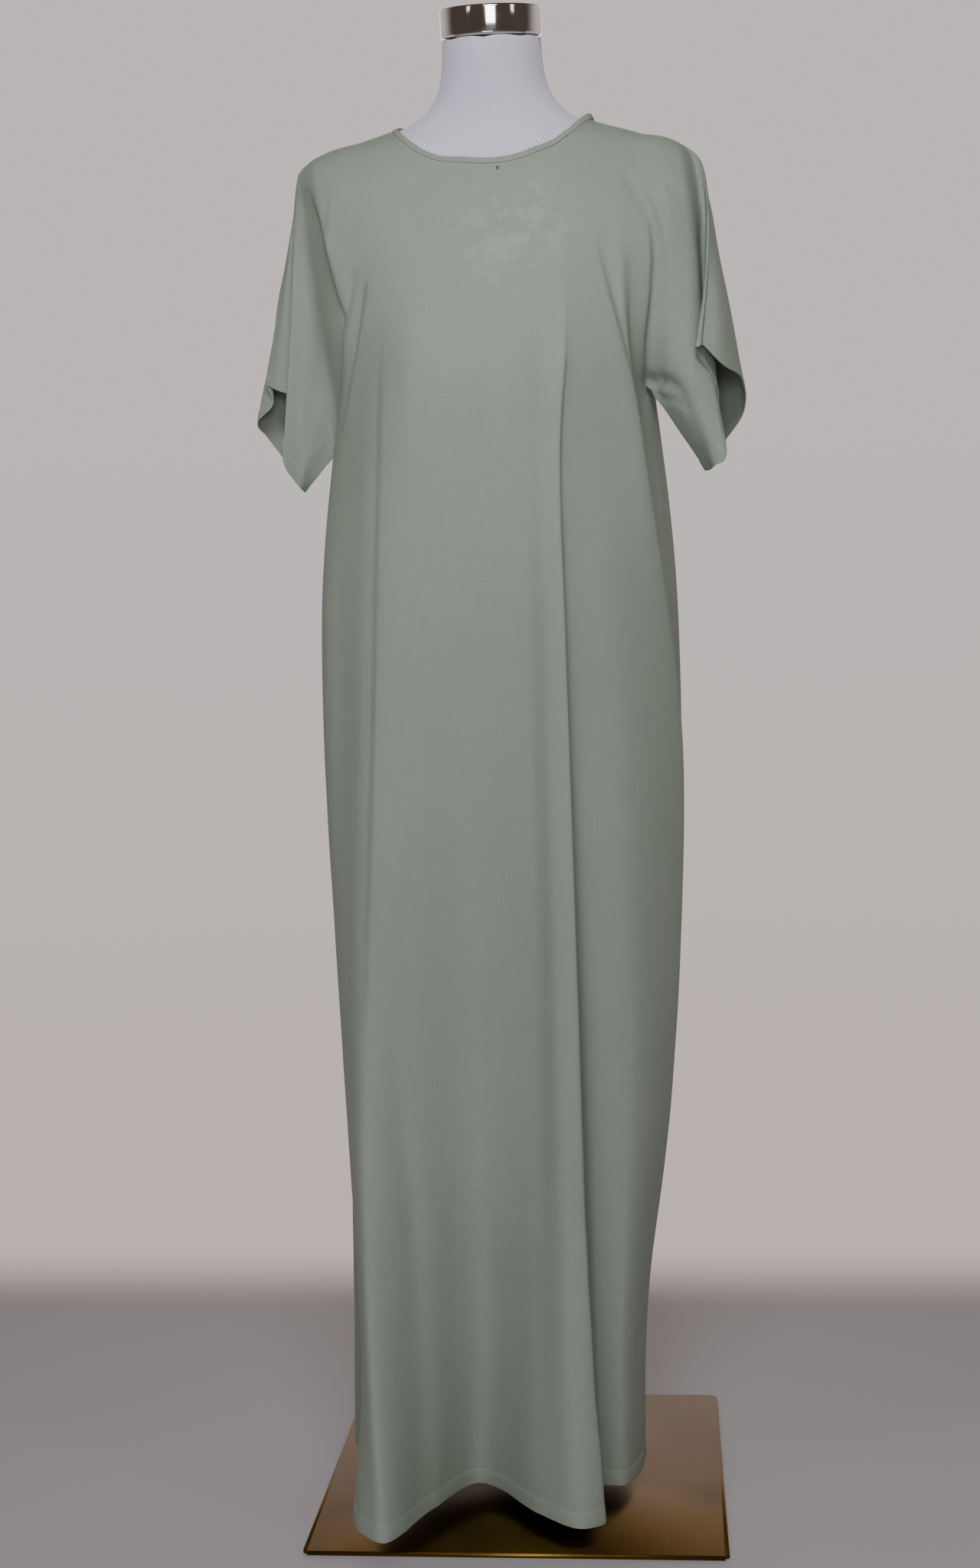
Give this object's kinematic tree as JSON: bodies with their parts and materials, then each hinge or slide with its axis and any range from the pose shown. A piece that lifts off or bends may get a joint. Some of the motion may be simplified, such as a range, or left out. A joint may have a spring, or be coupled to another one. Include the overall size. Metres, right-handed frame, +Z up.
{
  "type": "abaya inner dress on a dress form",
  "caption": "Loose floor-length round-necked abaya inner dress with short kimono sleeves and uneven folds, worn by a limbless dress form on a pole and a flat square base.",
  "frame": {"origin": "centre of the base plate's underside", "axes": "+Z up, the front of the dress faces -Y, +X towards the wearer's left"},
  "size_m": [0.4936, 0.411, 1.4784],
  "materials": {
    "front_panel": "plain-woven sage green polyester crepe, matt with a soft sheen",
    "back_panel": "plain-woven sage green polyester crepe, matt with a soft sheen",
    "neck_binding": "the dress's cloth folded over as a narrow binding and stitched down",
    "form_torso": "fine-ribbed white cotton jersey stretched over a firm body",
    "neck_cap": "polished chrome",
    "pole": "polished chrome tube",
    "pole_socket": "polished chrome",
    "base_plate": "brushed brass-coloured steel plate"
  },
  "bodies": {
    "root": {"front_panel": "front_panel", "back_panel": "back_panel", "neck_binding": "neck_binding", "form_torso": "form_torso", "neck_cap": "neck_cap", "pole": "pole", "pole_socket": "pole_socket", "base_plate": "base_plate"}
  },
  "joints": []
}
